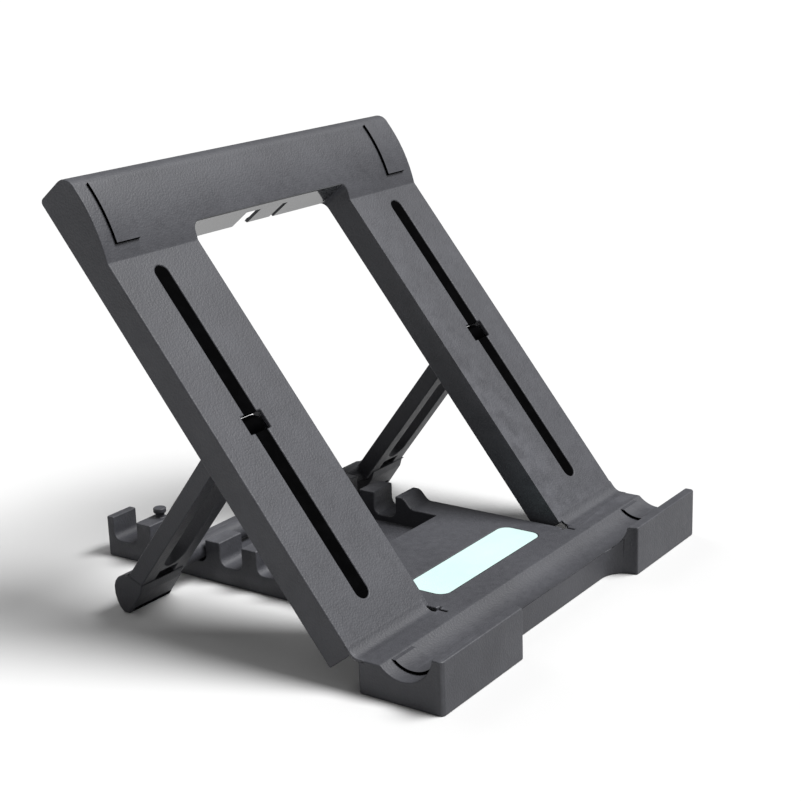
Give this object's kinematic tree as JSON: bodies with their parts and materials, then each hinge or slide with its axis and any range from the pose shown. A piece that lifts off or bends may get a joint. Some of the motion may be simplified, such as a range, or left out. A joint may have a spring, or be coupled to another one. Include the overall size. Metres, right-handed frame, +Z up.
{
  "type": "folding easel stand",
  "caption": "Folding easel stand: a troughed front ledge, a leaning panel with an open middle, and a U-shaped support that drops into notched rails.",
  "frame": {"origin": "on the table under the centre of the whole stand's box, in the resting pose", "axes": "+X along the ledge to the right, +Y from the ledge to the back, +Z up"},
  "size_m": [0.15, 0.156, 0.1314],
  "materials": {
    "body_plastic": "dark grey moulded plastic with a fine pebble grain",
    "pad_plastic": "dark grey textured pad with black edges",
    "hinge_web": "smooth thin flexing web",
    "rubber_black": "soft black rubber",
    "label": "smooth pale blank label",
    "steel_pin": "plain drawn pin"
  },
  "bodies": {
    "base": {"base_tray": "body_plastic", "label_plate": "label", "hinge_web_left": "hinge_web", "hinge_web_right": "hinge_web", "trough_pad_left": "pad_plastic", "trough_pad_right": "pad_plastic"},
    "panel": {"back_panel": "body_plastic", "top_pad_left": "pad_plastic", "top_pad_right": "pad_plastic", "grip_strip_left_lower": "rubber_black", "grip_strip_left_upper": "rubber_black", "grip_strip_right_lower": "rubber_black", "grip_strip_right_upper": "rubber_black", "pivot_pin_left": "steel_pin", "pivot_pin_right": "steel_pin"},
    "support": {"support_frame": "body_plastic", "rubber_foot_left": "rubber_black", "rubber_foot_right": "rubber_black"}
  },
  "joints": [
    {"name": "panel_hinge", "type": "hinge", "parent": "base", "child": "panel", "pos_m": [0, -0.049, 0.0108], "axis": [1, 0, 0], "range_deg": [0, 38]},
    {"name": "support_pivot", "type": "hinge", "parent": "panel", "child": "support", "pos_m": [0, -0.00275, 0.06142], "axis": [1, 0, 0], "range_deg": [0, 104.1]}
  ]
}
